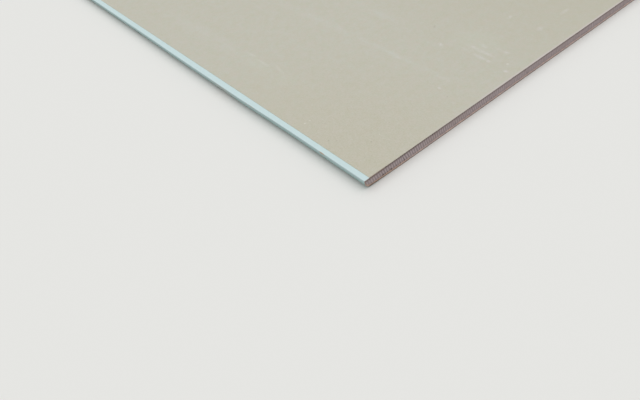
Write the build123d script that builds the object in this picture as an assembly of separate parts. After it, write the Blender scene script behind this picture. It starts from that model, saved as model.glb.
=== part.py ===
from build123d import *
import os

# Moisture-resistant drywall sheet, in millimetres. It lies face down with its back up.
# X runs across the sheet from one paper-bound long edge to the other, Y runs along those
# edges from one sawn end to the other, and Z is up. The origin is at the centre of the
# rectangle that the sheet covers, on the surface that it lies on.

# The sheet
sheet_length = 1500.0
sheet_width = 1000.0
sheet_thickness = 12.5

# The two papers
face_paper_thickness = 0.45
back_paper_thickness = 0.35
lap_width = 28.0
bare_lap_width = 7.0

# The half-round tapered long edge
taper_width = 52.0
taper_depth = 1.5
edge_round = 8.5
arris_round = 0.8

# Places that follow from the sizes above
half_width = sheet_width / 2
lap_top = sheet_thickness - back_paper_thickness
lap_end = half_width - lap_width
back_paper_edge = half_width - bare_lap_width


def wrapped_outline():
    """Cross-section of all that the face paper wraps, the paper included.

    The face lies flat on the ground line between the two tapers. Each taper rises
    towards its long edge, turns up round the edge and ends at the arris of the back.
    """
    corners = [
        (-half_width, taper_depth),
        (-half_width + taper_width, 0),
        (half_width - taper_width, 0),
        (half_width, taper_depth),
        (half_width, lap_top),
        (-half_width, lap_top),
    ]
    section = make_face(Polyline(*corners, close=True))
    taper_corners = section.vertices().group_by(Axis.Y)[1]
    section = fillet(taper_corners, edge_round)
    arrises = section.vertices().group_by(Axis.Y)[-1]
    return fillet(arrises, arris_round)


def core_outline():
    """Cross-section of the core: a shallow rebate along each long edge takes the lap."""
    inside_face_paper = offset(wrapped_outline(), -face_paper_thickness)
    between_laps = Rectangle(2 * lap_end, sheet_thickness / 2, align=(Align.CENTER, Align.MAX))
    return inside_face_paper + Pos(0, lap_top) * between_laps


def face_paper_outline():
    """Cross-section of the face paper, from the end of one lap to the end of the other."""
    return wrapped_outline() - core_outline()


def back_paper_outline():
    """Cross-section of the back paper, which lies on the core and on both laps."""
    strip = Rectangle(2 * back_paper_edge, back_paper_thickness, align=(Align.CENTER, Align.MIN))
    return Pos(0, lap_top) * strip


def run_along_sheet(outline):
    """One straight solid with the given cross-section, from sawn end to sawn end."""
    return extrude(Plane.XZ * outline, sheet_length / 2, both=True)


os.makedirs("parts", exist_ok=True)
sheet_parts = {
    "gypsum_core": run_along_sheet(core_outline()),
    "face_paper": run_along_sheet(face_paper_outline()),
    "back_paper": run_along_sheet(back_paper_outline()),
}
for node, solid in sheet_parts.items():
    export_step(solid, f"parts/{node}.step")
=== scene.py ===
import math
import random

import bmesh
import bpy
from mathutils import Matrix, Vector, noise


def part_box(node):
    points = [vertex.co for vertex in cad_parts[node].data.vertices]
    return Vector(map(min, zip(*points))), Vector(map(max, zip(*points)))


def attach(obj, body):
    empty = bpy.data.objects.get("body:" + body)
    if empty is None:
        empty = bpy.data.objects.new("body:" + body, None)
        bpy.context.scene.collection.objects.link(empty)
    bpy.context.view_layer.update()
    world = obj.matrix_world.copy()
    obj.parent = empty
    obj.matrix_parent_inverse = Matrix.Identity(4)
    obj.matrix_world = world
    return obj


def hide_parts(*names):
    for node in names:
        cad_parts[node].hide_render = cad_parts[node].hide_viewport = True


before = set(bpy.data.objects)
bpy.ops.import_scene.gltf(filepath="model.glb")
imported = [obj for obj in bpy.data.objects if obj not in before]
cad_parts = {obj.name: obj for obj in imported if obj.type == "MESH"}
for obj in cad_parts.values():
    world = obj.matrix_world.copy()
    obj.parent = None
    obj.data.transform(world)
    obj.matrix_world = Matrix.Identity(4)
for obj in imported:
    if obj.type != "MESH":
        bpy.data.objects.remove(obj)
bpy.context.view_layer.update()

# Sizes in metres. What the frame knows is read from it.
MM = 0.001
face_low, face_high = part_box("face_paper")
core_low, core_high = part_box("gypsum_core")
back_low, back_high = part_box("back_paper")
half_width = face_high.x
half_length = face_high.y
lap_top = face_high.z
sheet_top = back_high.z
face_paper_thickness = core_low.z - face_low.z
back_paper_thickness = sheet_top - lap_top

# The half-round tapered edge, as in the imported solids
lap_width = 28 * MM
taper_width = 52 * MM
taper_depth = 1.5 * MM
edge_round = 8.5 * MM
arris_round = 0.8 * MM

# Where the rounding meets the upright edge and the taper
taper_slope = math.atan2(taper_depth, taper_width)
round_reach = edge_round * math.tan((math.pi / 2 - taper_slope) / 2)
round_centre_x = half_width - edge_round
round_centre_z = taper_depth + round_reach

# The saw's marks on the ends: how far apart they lie, and how many degrees they lean. They are
# deepest at the first distance from the corner, and again after each further stretch.
saw_pitch = 3.17 * MM
saw_lean = 17
first_deep_marks = 70 * MM
deep_marks_apart = 420 * MM

# How deep the saw's marks, the open pores and the crumbled rims of the core reach, and how
# far the core stays behind the papers everywhere
groove_depth = 0.25 * MM
pore_depth = 0.7 * MM
crumbled_depth = 0.3 * MM
crumbled_width = 0.7 * MM
set_back = 0.04 * MM

# The papers' ragged lips at the cut: how long their tears and their fibres are, and in how many
# steps a lip is drawn out
kraft_tear = 6 * MM
pulp_tear = 5 * MM
torn_fibre = 1.4 * MM
lip_steps = 2

# The bow of the left bound edge: how far it stands out, how wide it is and how much of that is
# full, and where it rises, falls in part and ends, from the near end
bow_height = 1.5 * MM
bow_width = 6.5 * MM
bow_full_width = 1.5 * MM
bow_rise = (110 * MM, 240 * MM)
bow_fall = (380 * MM, 470 * MM)
bow_end = (600 * MM, 900 * MM)
bow_fall_share = 0.4

# Fibres and grains. Real ones are finer than a pixel, so they are drawn as coarse as they need
# to be to show.
back_fibre = 1.2 * MM
back_grain = 1.6 * MM
face_fibre = 0.8 * MM
kraft_fibre = 0.6 * MM
pulp_fibre = 0.5 * MM
gypsum_grain = 0.7 * MM

# The corner nearest to the camera, from which places on the sheet are measured
near_corner = Vector((-half_width, -half_length, sheet_top))

# Mesh spacing: columns across the papers and the core, and rows over the core's thickness.
# Along the sheet there are rows at these distances from both ends, and further ones at these
# distances from the near end, where the left edge bows, both in millimetres. Edges that turn by
# fewer degrees than the last value look smooth.
paper_column = 0.75 * MM
core_column = 0.5 * MM
core_rows = 15
rows_from_both_ends = [3, 40, 250]
rows_along_bow = [
    110, 130, 150, 165, 180, 195, 210, 225, 240,
    380, 400, 420, 440, 470, 600, 700, 800, 900,
]
smooth_below = 35

# The studio: the colour that its floor and background show, how strong the light from all round
# and from overhead is, and the floor's size and the gap between it and the sheet
background = "#E6E6E3"
light_all_round = 0.55
light_overhead = 1.4
floor_size = 40
floor_gap = 0.05 * MM

# Marks on the back: x and y from the near corner, length along the sheet and width, all in
# millimetres, turn in degrees, and the edge that mark() takes. The photograph shows those
# within 450 mm of the corner, and the others are of the same kind.
chalk_streaks = [
    (243, 54, 35, 7.5, -5, 0.2),
    (254, 59, 46, 8, -4, 0.1),
    (255.2, 75.5, 12, 6, -15, 0.2),
    (265.5, 68, 14, 7.5, -20, 0.1),
    (245.5, 77, 26, 7, -10, -1.0),
    (269.5, 49, 20, 7, -20, -1.0),
    (252, 33, 12, 10, 0, -1.0),
    (182, 60, 26, 6, 0, -1.0),
    (182, 133, 20, 7, 0, -1.0),
    (182, 52, 10, 5, 0, 0.0),
]
chalk_spots = [
    (237.5, 13.5, 9, 7, 0, 0.0),
    (241.8, 41.5, 8, 6, 0, -0.2),
    (270.3, 37.4, 11, 11, 0, -0.3),
    (236, 112, 12, 7, -25, -0.1),
    (339.5, 87, 9, 16, 10, -0.3),
    (338, 40, 9, 14, 10, -0.5),
    (390, 41, 8, 25, 4, -0.2),
    (165, 50, 6, 5, 0, 0.3),
]
specks = [
    (250.8, 21.4, 4.4, 5, 0, -0.3),
    (20.1, 119.7, 3.2, 3.8, 0, 0.0),
    (27.2, 119.8, 3.4, 3.6, 0, -0.2),
    (33, 98, 2, 2.4, 0, -0.5),
    (61, 41, 2, 2.2, 0, -0.5),
]
dark_specks = [
    (47, 39, 2.2, 2.4, 0, 0.3),
    (18, 76, 2.4, 2.4, 0, 0.3),
    (35, 102, 2.4, 2.4, 0, 0.0),
    (25, 26, 2, 2.2, 0, 0.0),
    (24, 69, 2, 2.2, 0, 0.0),
    (158, 32, 2.6, 2.6, 0, 0.0),
    (264, 148, 11, 4, -50, -0.3),
]
rubbed_patches = [
    (269, 82, 88, 62, 0, 0.4),
    (61, 211, 46, 40, 10, 0.0),
    (57, 264, 84, 26, 0, 0.2),
]
curved_scratch = [
    (68, 291, 30, 6, 6, 0.0),
    (65.5, 264, 40, 6, -1, 0.0),
    (70, 234, 34, 6, -14, 0.0),
]
dusty_streaks = [
    (183, 294, 260, 22, 1, 0.0),
    (184, 157, 240, 12, 0, 0.0),
    (246, 230, 170, 26, 0, 0.0),
    (57, 392, 300, 34, 0, 0.0),
    (344, 322, 300, 30, 0, 0.0),
    (640, 520, 420, 26, 0, 0.0),
    (820, 900, 520, 34, 0, 0.0),
    (420, 1150, 380, 30, 0, 0.0),
    (150, 1080, 460, 26, 0, 0.0),
    (905, 380, 300, 24, 0, 0.0),
]

# Faint knocks on the arris of the bound edge, given in the same way
faint_knocks = [
    (0, 197, 16, 6, 0, 0.3),
    (0, 208, 5, 6, 0, 0.3),
]

# Open pores on the sawn end: x from the corner, depth under the back and radius in millimetres
open_pores = [
    (7, 2.6, 0.9),
    (24.5, 9.3, 0.8),
    (26, 8.8, 0.9),
    (28.8, 9.3, 0.7),
    (37.2, 9.5, 1.2),
    (44.5, 8.8, 0.9),
    (50.2, 9.9, 0.9),
    (56.2, 9.7, 1.1),
    (99, 1.6, 0.8),
    (102, 1.9, 0.8),
]

# Further pores, placed by chance: how many, and the lowest and highest of the same three values
further_pores = 40
further_pores_x = (110, 960)
further_pores_depth = (8.4, 10)
further_pores_radius = (0.4, 0.8)

# Pinholes: the chance that a point of the ends is one, low down on the end and above that
pinholes_low_down = 0.025
pinholes_above = 0.004
low_down = 4.2 * MM


def linear(hex_colour):
    """An sRGB hex colour as the linear colour that a shader takes."""
    channels = [int(hex_colour[i:i + 2], 16) / 255 for i in (1, 3, 5)]
    made = [c / 12.92 if c <= 0.04045 else ((c + 0.055) / 1.055) ** 2.4 for c in channels]
    return (*made, 1.0)


def add(tree, kind, inputs=None, **settings):
    """One node with its settings. An input is a value, or the output that feeds it."""
    node = tree.nodes.new(kind)
    for name, value in settings.items():
        setattr(node, name, value)
    for socket, value in (inputs or {}).items():
        if isinstance(value, bpy.types.NodeSocket):
            tree.links.new(value, node.inputs[socket])
        else:
            node.inputs[socket].default_value = value
    return node


def new_material(name, roughness, specular):
    """A material with only its surface shader, and its place on the object in metres."""
    material = bpy.data.materials.new(name)
    material.use_nodes = True
    tree = material.node_tree
    tree.nodes.clear()
    inputs = {"Roughness": roughness, "Specular IOR Level": specular}
    shader = add(tree, "ShaderNodeBsdfPrincipled", inputs)
    add(tree, "ShaderNodeOutputMaterial", {"Surface": shader.outputs["BSDF"]})
    place = add(tree, "ShaderNodeTexCoord").outputs["Object"]
    return material, tree, shader, place


def set_surface(tree, shader, colour, height, depth):
    """Gives the shader its colour and its fine relief, of a real depth in metres."""
    tree.links.new(colour, shader.inputs["Base Color"])
    bump = add(tree, "ShaderNodeBump", {"Height": height, "Strength": 1.0, "Distance": depth})
    tree.links.new(bump.outputs["Normal"], shader.inputs["Normal"])


def stain(tree, colour, over, *shares):
    """The colour, changed to the colour over by the product of the shares, each from 0 to 1.

    A colour is an sRGB hex value or comes from other nodes, and a share is a number or comes
    from other nodes.
    """
    whole = shares[0]
    for share in shares[1:]:
        whole = add(tree, "ShaderNodeMath", {0: whole, 1: share}, operation="MULTIPLY").outputs[0]
    under, over = [linear(c) if isinstance(c, str) else c for c in (colour, over)]
    # Inputs 6 and 7 of a Mix node are its colours, and its output 2 is the mixed one
    inputs = {0: whole, 6: under, 7: over}
    return add(tree, "ShaderNodeMix", inputs, data_type="RGBA").outputs[2]


def patches(tree, place, size, low, high, detail=2.0, roughness=0.5, stretch=(1, 1, 1)):
    """Soft patches of a real size in metres, from 0 below the noise level low to 1 above high."""
    scale = [1 / (size * s) for s in stretch]
    spread = add(tree, "ShaderNodeMapping", {"Vector": place, "Scale": scale}).outputs["Vector"]
    inputs = {"Vector": spread, "Scale": 1.0, "Detail": detail, "Roughness": roughness}
    level = add(tree, "ShaderNodeTexNoise", inputs).outputs["Fac"]
    inputs = {"Value": level, "From Min": low, "From Max": high}
    return add(tree, "ShaderNodeMapRange", inputs).outputs["Result"]


def along(tree, place, axis, low, high):
    """A share that goes from 0 at low to 1 at high along an axis, in metres."""
    value = add(tree, "ShaderNodeSeparateXYZ", {"Vector": place}).outputs[axis]
    inputs = {"Value": value, "From Min": low, "From Max": high}
    return add(tree, "ShaderNodeMapRange", inputs).outputs["Result"]


def by_both_sides(tree, place, axis, start, full):
    """A share that goes from 0 to 1 between two distances inside both edges across X or Y."""
    half = {"X": half_width, "Y": half_length}[axis]
    value = add(tree, "ShaderNodeSeparateXYZ", {"Vector": place}).outputs[axis]
    distance = add(tree, "ShaderNodeMath", {0: value}, operation="ABSOLUTE").outputs[0]
    inputs = {"Value": distance, "From Min": half - start, "From Max": half - full}
    return add(tree, "ShaderNodeMapRange", inputs).outputs["Result"]


def mark(tree, place, x, y, length, width, turn=0, edge=0.0):
    """A soft oval mark, placed from the near corner in millimetres, long along the sheet.

    It is 0 outside the oval, and 1 inside the share edge of its half size. With an edge below
    0 it stays fainter than 1 at its middle.
    """
    inputs = {
        "Vector": place,
        "Location": near_corner + Vector((x, y, 0)) * MM,
        "Rotation": (0, 0, math.radians(turn)),
        "Scale": (width / 2 * MM, length / 2 * MM, 1),
    }
    oval = add(tree, "ShaderNodeMapping", inputs, vector_type="TEXTURE").outputs["Vector"]
    inputs = {0: oval, 1: (1, 1, 0)}
    flat = add(tree, "ShaderNodeVectorMath", inputs, operation="MULTIPLY").outputs["Vector"]
    reach = add(tree, "ShaderNodeVectorMath", {0: flat}, operation="LENGTH").outputs["Value"]
    inputs = {"Value": reach, "From Min": 1.0, "From Max": edge}
    return add(tree, "ShaderNodeMapRange", inputs).outputs["Result"]


def all_marks(tree, place, marks):
    """Several oval marks as one share, the largest of theirs."""
    share = mark(tree, place, *marks[0])
    for settings in marks[1:]:
        inputs = {0: share, 1: mark(tree, place, *settings)}
        share = add(tree, "ShaderNodeMath", inputs, operation="MAXIMUM").outputs[0]
    return share


def back_liner():
    """Unbleached recycled liner: matte khaki, clouded by its pulp, with chalky dust and scuffs."""
    name = "unbleached_back_liner"
    material, tree, shader, place = new_material(name, roughness=0.92, specular=0.3)
    pulp = patches(tree, place, 13 * MM, 0.28, 0.72, detail=6.0, roughness=0.95)
    colour = stain(tree, "#B9BBA4", "#C3C6BF", pulp)
    # Moved some metres, so that the blush and the grains don't follow the pulp and the fibres
    inputs = {"Vector": place, "Location": (3, 7, 0)}
    elsewhere = add(tree, "ShaderNodeMapping", inputs).outputs["Vector"]
    blush = patches(tree, elsewhere, 12 * MM, 0.28, 0.72, detail=5.0, roughness=0.85)
    colour = stain(tree, colour, "#CBBDB5", blush, 0.5)
    # A warmer tint over the near corner: painted light
    painted_warm_light = mark(tree, place, x=0, y=0, length=620, width=420)
    colour = stain(tree, colour, "#BEBAA6", painted_warm_light, 0.5)
    # Darker and browner towards the right side: painted shade
    painted_side_shade = mark(tree, place, x=720, y=40, length=1100, width=1080, edge=0.5)
    colour = stain(tree, colour, "#B6B19E", painted_side_shade, 0.35)
    fibres = patches(
        tree, place, back_fibre, 0.35, 0.7, detail=6.0, roughness=0.7, stretch=(1, 2, 1)
    )
    colour = stain(tree, colour, "#A9A48A", fibres, 0.18)
    grainy = mark(tree, place, x=20, y=20, length=480, width=360, edge=0.3)
    grains = patches(tree, elsewhere, back_grain, 0.35, 0.7, detail=3.0)
    colour = stain(tree, colour, "#D2CBC6", grains, grainy, 0.34)
    colour = stain(tree, colour, "#A39F78", fibres, grainy, 0.22)

    # Dust and rubbing
    ragged = patches(tree, place, 12 * MM, 0.25, 0.75, detail=4.0, stretch=(1, 3, 1))
    dust = all_marks(tree, place, dusty_streaks)
    colour = stain(tree, colour, "#CFD3D4", dust, ragged, 0.2)
    rubbed = all_marks(tree, place, rubbed_patches)
    colour = stain(tree, colour, "#C5CABC", rubbed, 0.16)
    scratch = all_marks(tree, place, curved_scratch)
    colour = stain(tree, colour, "#D6D6D0", scratch, 0.24)

    # Chalk, broken up by the grain of the paper, and specks
    broken = patches(
        tree, place, 4 * MM, 0.3, 0.65, detail=4.0, roughness=0.65, stretch=(1, 2.5, 1)
    )
    streaks = all_marks(tree, place, chalk_streaks)
    colour = stain(tree, colour, "#E4E0E6", streaks, broken, 0.28)
    spots = all_marks(tree, place, chalk_spots)
    colour = stain(tree, colour, "#E4E0E6", spots, broken, 0.45)
    colour = stain(tree, colour, "#E8E6E0", all_marks(tree, place, specks), 0.5)
    colour = stain(tree, colour, "#77715F", all_marks(tree, place, dark_specks), 0.28)

    # Along the sawn ends: torn fibre by the corner, and gypsum dust away from it
    torn_rim = by_both_sides(tree, place, "Y", 0.6 * MM, 0.2 * MM)
    by_corner = mark(tree, place, x=0, y=0, length=300, width=90, edge=0.3)
    colour = stain(tree, colour, "#8A6A5C", torn_rim, by_corner, 0.32)
    rim = by_both_sides(tree, place, "Y", 2.8 * MM, 0.8 * MM)
    dusty = patches(tree, place, 40 * MM, 0.3, 0.5, detail=5.0, roughness=0.7)
    away = along(tree, place, "X", 60 * MM - half_width, 250 * MM - half_width)
    colour = stain(tree, colour, "#D2C6CA", rim, dusty, away, 0.5)
    relief = add(tree, "ShaderNodeMath", {0: fibres, 1: pulp}, operation="MAXIMUM").outputs[0]
    set_surface(tree, shader, colour, relief, 0.03 * MM)
    return material


def face_liner():
    """Moisture-resistant face liner: pale green, calendered smooth, a little soiled by hands.

    It is paler on the lap, and greener down the edge, where its deeper green is partly painted
    bounced light. It is creased along the upright edge.
    """
    name = "moisture_resistant_face_liner"
    material, tree, shader, place = new_material(name, roughness=0.78, specular=0.35)
    pulp = patches(tree, place, 7 * MM, 0.3, 0.7, detail=4.0, roughness=0.7)
    paler_on_lap = stain(tree, "#C4D9DA", "#C9DCDE", pulp)
    # Greener down the edge: the paper's own green, made deeper in part as painted bounced light
    green = stain(tree, "#AED0CB", "#B5D5D1", pulp)
    down_the_edge = along(tree, place, "Z", lap_top - 0.3 * MM, lap_top - 5 * MM)
    colour = stain(tree, paler_on_lap, green, down_the_edge)
    creased = patches(tree, place, 2.2 * MM, 0.42, 0.62, detail=3.0, stretch=(1, 150, 1))
    upright = along(tree, place, "Z", 1.6 * MM, 4 * MM)
    inputs = {0: creased, 1: upright}
    creases = add(tree, "ShaderNodeMath", inputs, operation="MULTIPLY").outputs[0]
    below_lap = along(tree, place, "Z", lap_top - 0.1 * MM, lap_top - 0.8 * MM)
    colour = stain(tree, colour, "#A9AFA9", creases, below_lap, 0.22)
    smear = mark(tree, place, x=2, y=262, length=70, width=30)
    colour = stain(tree, colour, "#BFB5AA", smear, below_lap, 0.5)

    # The arris is knocked through to the brown plies in places
    torn = patches(tree, place, 1.6 * MM, 0.25, 0.5, detail=3.0)
    over_side = along(tree, place, "Z", lap_top - 2.4 * MM, lap_top - 1.2 * MM)
    under_top = along(tree, place, "Z", lap_top - 0.02 * MM, lap_top - 0.25 * MM)
    knock = mark(tree, place, x=0, y=66, length=11, width=6, edge=0.4)
    colour = stain(tree, colour, "#C6AC92", knock, over_side, under_top, torn, 0.9)
    faint = all_marks(tree, place, faint_knocks)
    colour = stain(tree, colour, "#C6AC92", faint, over_side, under_top, torn, 0.36)
    torn_rim = by_both_sides(tree, place, "Y", 0.6 * MM, 0.2 * MM)
    colour = stain(tree, colour, "#8A6A5C", torn_rim, 0.32)
    fibres = patches(tree, place, face_fibre, 0.3, 0.7, detail=3.0, stretch=(1, 3, 1))
    inputs = {0: fibres, 1: creases}
    relief = add(tree, "ShaderNodeMath", inputs, operation="MAXIMUM").outputs[0]
    set_surface(tree, shader, colour, relief, 0.02 * MM)
    return material


def torn_kraft():
    """Inner plies of the face paper, pulled up over the sawn core as a ragged fringe.

    The plies are peach-brown, dusted with gypsum in places, browner by the corner, and painted
    darker at their foot and under the lap: painted shade there.
    """
    name = "torn_kraft_plies"
    material, tree, shader, place = new_material(name, roughness=0.95, specular=0.2)
    inputs = {"Vector": place, "Rotation": (0, 0.6, 0)}
    leaning = add(tree, "ShaderNodeMapping", inputs).outputs["Vector"]
    fibres = patches(tree, leaning, kraft_fibre, 0.35, 0.65, detail=3.0, stretch=(1, 1, 3))
    colour = stain(tree, "#D0B1A3", "#EED4C9", fibres)
    dusted = patches(
        tree, leaning, 3.5 * MM, 0.42, 0.58, detail=5.0, roughness=0.65, stretch=(1, 1, 2)
    )
    colour = stain(tree, colour, "#C8B6B3", dusted, 0.9)
    by_corner = mark(tree, place, x=0, y=0, length=300, width=140, edge=0.5)
    colour = stain(tree, colour, "#BC9C84", by_corner, 0.6)

    # Painted shade at the foot, measured over the face, which rises towards both bound edges
    height = add(tree, "ShaderNodeSeparateXYZ", {"Vector": place}).outputs["Z"]
    by_edge = by_both_sides(tree, place, "X", 36 * MM, 8 * MM)
    inputs = {0: by_edge, 1: -taper_depth, 2: height}
    over_face = add(tree, "ShaderNodeMath", inputs, operation="MULTIPLY_ADD").outputs[0]
    inputs = {"Value": over_face, "From Min": 1.2 * MM, "From Max": 0.6 * MM}
    foot = add(tree, "ShaderNodeMapRange", inputs).outputs["Result"]
    colour = stain(tree, colour, "#6C5A4C", foot, 0.9)
    # Painted shade under the lap
    shade_under_lap = along(tree, place, "Z", lap_top - 2 * MM, lap_top - 0.6 * MM)
    colour = stain(tree, colour, "#8A6C61", shade_under_lap, 0.7)
    set_surface(tree, shader, colour, fibres, 0.05 * MM)
    return material


def cut_grey_pulp():
    """Cut edge of the back paper: dark grey-brown recycled pulp, in part painted shade, dustier
    away from the corner.
    """
    name = "cut_recycled_pulp"
    material, tree, shader, place = new_material(name, roughness=0.95, specular=0.2)
    fibres = patches(tree, place, pulp_fibre, 0.35, 0.65, detail=3.0, stretch=(3, 1, 1))
    # Dark grey-brown: the pulp's own colour, and in part painted shade
    colour = stain(tree, "#6A5B54", "#88776E", fibres)
    dusty = patches(tree, place, 18 * MM, 0.5, 0.66, detail=4.0)
    colour = stain(tree, colour, "#C4BAB2", dusty, 0.5)
    thick_dust = patches(tree, place, 9 * MM, 0.25, 0.5, detail=4.0)
    away = along(tree, place, "X", 80 * MM - half_width, 220 * MM - half_width)
    colour = stain(tree, colour, "#C4BAB2", thick_dust, away, 0.8)
    set_surface(tree, shader, colour, fibres, 0.05 * MM)
    return material


def sawn_gypsum():
    """Foamed gypsum, sawn: chalky grey with a mauve cast, scored by the saw, with open pores.

    It is painted darker under the back paper, as painted shade under its lip, and above the
    kraft plies, as painted shade and fine pores, most of all by the corner.
    """
    name = "sawn_gypsum"
    material, tree, shader, place = new_material(name, roughness=0.97, specular=0.2)
    grains = patches(tree, place, gypsum_grain, 0.3, 0.7, detail=5.0, roughness=0.75)
    # Ridges painted lighter and grooves darker: partly dust in the grooves, partly painted light
    # and shade on the saw's relief
    lit_ridges = stain(tree, "#C2B3B4", "#DDCECF", grains)
    dusty_shaded_grooves = stain(tree, "#857778", "#A09192", grains)
    groove = add(tree, "ShaderNodeAttribute", attribute_name="groove").outputs["Fac"]
    colour = stain(tree, lit_ridges, dusty_shaded_grooves, groove)
    stained = patches(tree, place, 26 * MM, 0.4, 0.65, detail=4.0)
    colour = stain(tree, colour, "#AE9C94", stained, 0.3)
    # The pores are painted near black: painted shade in them
    pore = add(tree, "ShaderNodeAttribute", attribute_name="pore").outputs["Fac"]
    colour = stain(tree, colour, "#2E2422", pore)
    # Painted shade under the back paper's lip, stronger by the corner
    shade_under_back = along(tree, place, "Z", lap_top - 3.4 * MM, lap_top - 1 * MM)
    by_corner = mark(tree, place, x=0, y=0, length=300, width=320, edge=0.3)
    colour = stain(tree, colour, "#75655F", shade_under_back, 0.6)
    colour = stain(tree, colour, "#75655F", shade_under_back, by_corner, 0.5)
    # Darker above the kraft plies, most of all by the corner: painted shade, partly fine pores
    pores_and_shade_above_kraft = along(tree, place, "Z", 4.6 * MM, 2.8 * MM)
    darkest_by_corner = mark(tree, place, x=0, y=0, length=300, width=130, edge=0.5)
    colour = stain(tree, colour, "#8B7A74", pores_and_shade_above_kraft, 0.12)
    colour = stain(tree, colour, "#8B7A74", pores_and_shade_above_kraft, darkest_by_corner, 0.28)
    set_surface(tree, shader, colour, grains, 0.06 * MM)
    return material


def step_up(value, low, high):
    """A smooth step from 0 at low to 1 at high."""
    t = min(1.0, max(0.0, (value - low) / (high - low)))
    return t * t * (3 - 2 * t)


def bow_left_edge(bm):
    """Cuts rows into the left bound edge, and moves it out along its bow."""
    for distance in rows_along_bow:
        faces = [f for f in bm.faces if f.calc_center_median().x < bow_width - half_width]
        edges = list({e for f in faces for e in f.edges})
        points = list({v for f in faces for v in f.verts})
        level = (0, distance * MM - half_length, 0)
        bmesh.ops.bisect_plane(
            bm, geom=points + edges + faces, plane_co=level, plane_no=(0, 1, 0)
        )
    for point in bm.verts:
        distance = point.co.y + half_length
        rise = step_up(distance, *bow_rise) - bow_fall_share * step_up(distance, *bow_fall)
        rise -= (1 - bow_fall_share) * step_up(distance, *bow_end)
        at_edge = step_up(-point.co.x, half_width - bow_width, half_width - bow_full_width)
        point.co.x -= bow_height * rise * at_edge
    bm.normal_update()


def finished_piece(bm, name, materials, node):
    """The bmesh as an object that rides on the sheet and stands for its CAD node."""
    for face in bm.faces:
        face.smooth = True
    for edge in bm.edges:
        edge.smooth = edge.calc_face_angle(0.0) < math.radians(smooth_below)
    mesh = bpy.data.meshes.new(name)
    bm.to_mesh(mesh)
    bm.free()
    for material in materials:
        mesh.materials.append(material)
    piece = bpy.data.objects.new(name, mesh)
    bpy.context.scene.collection.objects.link(piece)
    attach(piece, "root")
    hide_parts(node)
    return piece


def run(bm, point, x, z, step):
    """Extrudes a point straight to (x, z) in steps no longer than step. Gives the last point."""
    start, end = point.co.copy(), Vector((x, point.co.y, z))
    count = max(1, math.ceil((end - start).length / step))
    for i in range(1, count + 1):
        point = bmesh.ops.extrude_vert_indiv(bm, verts=[point])["verts"][0]
        point.co = start.lerp(end, i / count)
    return point


def turn(bm, point, centre_x, centre_z, angle, steps):
    """Spins a point round a centre in the sheet's cross-section, and gives the last point."""
    centre = (centre_x, point.co.y, centre_z)
    made = bmesh.ops.spin(bm, geom=[point], cent=centre, axis=(0, 1, 0), angle=angle, steps=steps)
    return made["geom_last"][0]


def draw_along_sheet(bm, thickness):
    """A line across half the sheet becomes a paper from end to end, its wall inside the line."""
    half_line = bm.verts[:] + bm.edges[:]
    bmesh.ops.mirror(
        bm, geom=half_line, matrix=Matrix.Identity(4), merge_dist=0.001 * MM, axis="X"
    )
    grown = bmesh.ops.extrude_edge_only(bm, edges=bm.edges[:])["geom"]
    new_points = [g for g in grown if isinstance(g, bmesh.types.BMVert)]
    bmesh.ops.translate(bm, verts=new_points, vec=(0, 2 * half_length, 0))
    for distance in rows_from_both_ends:
        for y in (distance * MM - half_length, half_length - distance * MM):
            everything = bm.verts[:] + bm.edges[:] + bm.faces[:]
            bmesh.ops.bisect_plane(bm, geom=everything, plane_co=(0, y, 0), plane_no=(0, 1, 0))
    bmesh.ops.recalc_face_normals(bm, faces=bm.faces[:])
    highest = max(bm.faces, key=lambda face: face.calc_center_median().z)
    if highest.normal.z < 0:
        bmesh.ops.reverse_faces(bm, faces=bm.faces[:])
    bmesh.ops.solidify(bm, geom=bm.faces[:], thickness=thickness)
    bm.normal_update()


def end_faces(bm, side):
    """The faces that look out of the sheet's near end, for side -1, or far end, for side 1."""
    return [f for f in bm.faces if f.normal.y * side > 0.9]


def fray(bm, lip):
    """Both cut ends get a ragged lip, which shows the paper's second material.

    lip gives how far it moves a point of the cut.
    """
    for side in (-1, 1):
        rim = end_faces(bm, side)
        rim_edges = {e for f in rim for e in f.edges}
        across_wall = [e for e in rim_edges if all(f in rim for f in e.link_faces)]
        bmesh.ops.subdivide_edges(bm, edges=across_wall, cuts=2, use_grid_fill=True)
        bm.normal_update()
        rim = end_faces(bm, side)
        for step in range(lip_steps):
            grown = bmesh.ops.extrude_face_region(bm, geom=rim)["geom"]
            bmesh.ops.delete(bm, geom=rim, context="FACES_ONLY")
            rim = [g for g in grown if isinstance(g, bmesh.types.BMFace)]
            for point in {v for face in rim for v in face.verts}:
                point.co += lip(point.co, side) / lip_steps
    bm.normal_update()
    for face in bm.faces:
        if abs(face.normal.y) > 0.5:
            face.material_index = 1


def wander(x, z, size, seed):
    """Smooth noise from about -1 to 1 on the sheet's end, with patches of a real size."""
    return noise.fractal(Vector((x / size, z / size, seed)), 0.8, 2.0, 3)


def bottom_of_face(x):
    """Height of the face's outer surface over the floor, at a distance across the sheet."""
    into_taper = abs(x) - (half_width - taper_width)
    return max(0.0, into_taper) * taper_depth / taper_width


def place_in_wall(co):
    """How deep a point lies in the wall of the face paper, from 0 to 1, and the way inwards."""
    side = math.copysign(1, co.x)
    across = abs(co.x)
    if across > round_centre_x and co.z < round_centre_z:
        out = Vector((across - round_centre_x, 0, co.z - round_centre_z))
        depth, inwards = edge_round - out.length, -out.normalized()
    elif across > half_width - 1.5 * face_paper_thickness:
        depth, inwards = half_width - across, Vector((-1, 0, 0))
    elif co.z > round_centre_z:
        depth, inwards = lap_top - co.z, Vector((0, 0, -1))
    else:
        depth, inwards = co.z - bottom_of_face(across), Vector((0, 0, 1))
    inwards.x *= side
    return min(1.0, max(0.0, depth / face_paper_thickness)), inwards


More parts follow.
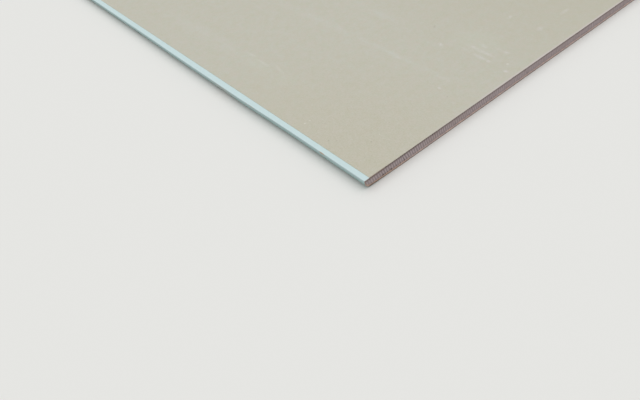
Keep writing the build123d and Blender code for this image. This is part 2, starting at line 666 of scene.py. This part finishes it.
def kraft_lip(co, side):
    """The face paper's lip: pulled up over the core along the face, and short round the edge.

    The plies are pulled up further away from the corner. The numbers are millimetres.
    """
    depth, inwards = place_in_wall(co)
    ragged = wander(co.x, 0, kraft_tear, 3 * side)
    fine = wander(co.x, co.z, torn_fibre, 5 * side)
    by_face = min(1.0, max(0.0, (round_centre_z - co.z) / round_centre_z))
    even = 0.3 + 0.75 * by_face ** 2
    uneven = (0.15 + 0.3 * by_face) * ragged + 0.4 * by_face * fine
    further = 0.4 * by_face * step_up(half_width - side * co.x, 180 * MM, 300 * MM)
    pulled_up = max(0.0, even + uneven + further) * depth
    out = max(0.05, (0.26 + 0.1 * ragged) * (1 - 0.5 * depth))
    return (inwards * pulled_up + Vector((0, side * out, 0))) * MM


def pulp_lip(co, side):
    """The back paper's lip: it overhangs the core a little, less where the saw cut deeper.

    The numbers are millimetres.
    """
    ragged = wander(co.x, 0, pulp_tear, 11 * side)
    fine = wander(co.x, co.z, torn_fibre, 13 * side)
    out = 0.24 + 0.14 * ragged + 0.06 * fine - 0.14 * saw_groove(-side * co.x, sheet_top)
    return Vector((0, side * max(0.02, out), 0.03 * ragged - 0.03)) * MM


def wrapped_face_paper():
    """The face paper: over the face, round both tapered edges and lapped onto the back."""
    bm = bmesh.new()
    point = bm.verts.new((-half_width + lap_width, -half_length, lap_top))
    point = run(bm, point, -half_width + arris_round, lap_top, 1 * MM)
    arris_centre = (-half_width + arris_round, lap_top - arris_round)
    point = turn(bm, point, *arris_centre, -math.pi / 2, 5)
    point = run(bm, point, -half_width, round_centre_z, 0.8 * MM)
    point = turn(bm, point, -round_centre_x, round_centre_z, taper_slope - math.pi / 2, 18)
    point = run(bm, point, -half_width + taper_width, 0, paper_column)
    run(bm, point, 0, 0, paper_column)
    draw_along_sheet(bm, face_paper_thickness)
    fray(bm, kraft_lip)
    bow_left_edge(bm)
    materials = [face_liner(), torn_kraft()]
    return finished_piece(bm, "wrapped_face_paper", materials, "face_paper")


def glued_back_paper():
    """The back paper, glued over the core and both laps, with sawn ends."""
    bm = bmesh.new()
    point = bm.verts.new((back_low.x, -half_length, sheet_top))
    run(bm, point, 0, sheet_top, paper_column)
    draw_along_sheet(bm, back_paper_thickness)
    fray(bm, pulp_lip)
    materials = [back_liner(), cut_grey_pulp()]
    return finished_piece(bm, "glued_back_paper", materials, "back_paper")


def fit_core_section(co):
    """Moves a point of a flat grid, in shares from -1 to 1, into the core's cross-section."""
    side = math.copysign(1, co.x)
    across = abs(co.x) * (half_width - face_paper_thickness)
    top = core_high.z
    if across > half_width - lap_width:
        top -= face_paper_thickness
    bottom = face_paper_thickness + bottom_of_face(across)
    if across > round_centre_x:
        inner_round = edge_round - face_paper_thickness
        swing = (across - round_centre_x) / inner_round * math.pi / 2
        across = round_centre_x + inner_round * math.sin(swing)
        bottom = round_centre_z - inner_round * math.cos(swing)
    return Vector((side * across, -half_length, bottom + (top - bottom) * (co.z + 1) / 2))


def saw_groove(x, z):
    """Depth of the saw's marks at a point of the end, from 0 on a ridge to 1 in a groove.

    The marks lean more or less. They are deep by the corner, then faint and deep by turns.
    """
    slant = math.tan(math.radians(saw_lean + 7 * wander(x, 0, 45 * MM, 4.0)))
    leaning = x + z * slant
    drift = 0.2 * wander(x, 0, 24 * MM, 1.0) + 0.1 * wander(x, z, 5 * MM, 2.0)
    wave = 0.5 - 0.5 * math.cos(2 * math.pi * (leaning / saw_pitch + drift))
    from_deepest = x + half_width - first_deep_marks
    swell = 0.5 + 0.5 * math.cos(2 * math.pi * from_deepest / deep_marks_apart)
    strength = (0.3 + 0.6 * swell) * (1 + 0.35 * wander(x, 0, 9 * MM, 5.0))
    fine = 0.22 * wander(leaning, z / 3, 1.3 * MM, 9.0)
    return min(1.0, max(0.0, 0.4 + (wave - 0.5) * strength + fine))


def in_open_pore(pores, from_corner, depth):
    """How far a point of the end lies into one of the open pores, from 0 to 1."""
    share = 0.0
    for x, down, radius in pores:
        if abs(from_corner - x * MM) < radius * MM:
            reach = math.hypot(from_corner - x * MM, depth - down * MM) / (radius * MM)
            share = max(share, min(1.0, 2 - 2 * reach))
    return share


def sawn_gypsum_core():
    """The core: its cross-section as a fine grid at both ends, scored by the saw.

    The ends have open pores, and pinholes all over, most of them low down.
    """
    bm = bmesh.new()
    columns = int(2 * half_width / core_column)
    bmesh.ops.create_grid(bm, x_segments=columns, y_segments=core_rows, size=1.0)
    upright = Matrix.Rotation(math.pi / 2, 3, "X")
    bmesh.ops.rotate(bm, verts=bm.verts[:], cent=(0, 0, 0), matrix=upright)
    for point in bm.verts:
        point.co = fit_core_section(point.co)
    grown = bmesh.ops.extrude_face_region(bm, geom=bm.faces[:])["geom"]
    far_points = [g for g in grown if isinstance(g, bmesh.types.BMVert)]
    bmesh.ops.translate(bm, verts=far_points, vec=(0, 2 * half_length, 0))
    bmesh.ops.recalc_face_normals(bm, faces=bm.faces[:])

    dice = random.Random(5)
    ranges = (further_pores_x, further_pores_depth, further_pores_radius)
    pores = list(open_pores)
    for count in range(further_pores):
        pores.append([dice.uniform(lowest, highest) for lowest, highest in ranges])
    groove = bm.verts.layers.float.new("groove")
    pore = bm.verts.layers.float.new("pore")
    for point in bm.verts:
        side = math.copysign(1, point.co.y)
        point[groove] = saw_groove(-side * point.co.x, point.co.z)
        chance = pinholes_low_down if point.co.z < low_down else pinholes_above
        point[pore] = dice.uniform(0.5, 1.0) if dice.random() < chance else 0.0
        opened = in_open_pore(pores, half_width - side * point.co.x, sheet_top - point.co.z)
        point[pore] = max(point[pore], opened)
        to_papers = min(point.co.z - core_low.z, core_high.z - point.co.z)
        crumbled = crumbled_depth * math.exp(-to_papers / crumbled_width)
        scored = groove_depth * point[groove] + pore_depth * point[pore]
        point.co.y -= side * (set_back + scored + crumbled)
    bow_left_edge(bm)
    return finished_piece(bm, "sawn_gypsum_core", [sawn_gypsum()], "gypsum_core")


def is_seen_directly(tree):
    """1 for light that reaches the camera straight, by a reflection or through glass, else 0."""
    path = add(tree, "ShaderNodeLightPath").outputs
    seen = path["Is Camera Ray"]
    for ray in ("Is Glossy Ray", "Is Transmission Ray"):
        inputs = {0: seen, 1: path[ray]}
        seen = add(tree, "ShaderNodeMath", inputs, operation="MAXIMUM").outputs[0]
    return seen


def pale_floor():
    """A plain pale floor, which throws less light back at the sheet's edges than it shows."""
    bm = bmesh.new()
    bmesh.ops.create_grid(bm, x_segments=1, y_segments=1, size=floor_size)
    bmesh.ops.translate(bm, verts=bm.verts[:], vec=(0, 0, -floor_gap))
    mesh = bpy.data.meshes.new("floor")
    bm.to_mesh(mesh)
    bm.free()
    floor = bpy.data.objects.new("floor", mesh)
    bpy.context.scene.collection.objects.link(floor)
    material = bpy.data.materials.new("pale_floor")
    material.use_nodes = True
    tree = material.node_tree
    tree.nodes.clear()
    colour = stain(tree, "#A8A8A6", background, is_seen_directly(tree))
    matte = add(tree, "ShaderNodeBsdfDiffuse", {"Color": colour})
    add(tree, "ShaderNodeOutputMaterial", {"Surface": matte.outputs["BSDF"]})
    mesh.materials.append(material)


def studio_light():
    """Soft even light from all round, and a wide soft light from overhead."""
    world = bpy.data.worlds.new("studio")
    bpy.context.scene.world = world
    world.use_nodes = True
    tree = world.node_tree
    tree.nodes.clear()
    seen = is_seen_directly(tree)
    inputs = {"Value": seen, "To Min": light_all_round, "To Max": 1.0}
    strength = add(tree, "ShaderNodeMapRange", inputs).outputs["Result"]
    colour = stain(tree, "#FFFFFF", background, seen)
    sky = add(tree, "ShaderNodeBackground", {"Color": colour, "Strength": strength})
    add(tree, "ShaderNodeOutputWorld", {"Surface": sky.outputs["Background"]})

    overhead = bpy.data.lights.new("overhead_light", "SUN")
    overhead.energy = light_overhead
    overhead.angle = math.radians(100)
    bpy.context.scene.collection.objects.link(bpy.data.objects.new("overhead_light", overhead))


def photo_camera():
    """The photograph's viewpoint, worked out from the sheet's edges and its near corner."""
    data = bpy.data.cameras.new("photo_camera")
    data.sensor_width = 36
    data.lens = 34.153
    data.clip_start = 0.02
    camera = bpy.data.objects.new("photo_camera", data)
    camera.location = near_corner + Vector((-277.59, -346.47, 412.36)) * MM
    camera.rotation_euler = [math.radians(a) for a in (45.484, 7.558, -40.027)]
    bpy.context.scene.collection.objects.link(camera)
    bpy.context.scene.camera = camera


wrapped_face_paper()
glued_back_paper()
sawn_gypsum_core()
pale_floor()
studio_light()
photo_camera()
bpy.context.scene.view_settings.view_transform = "Standard"
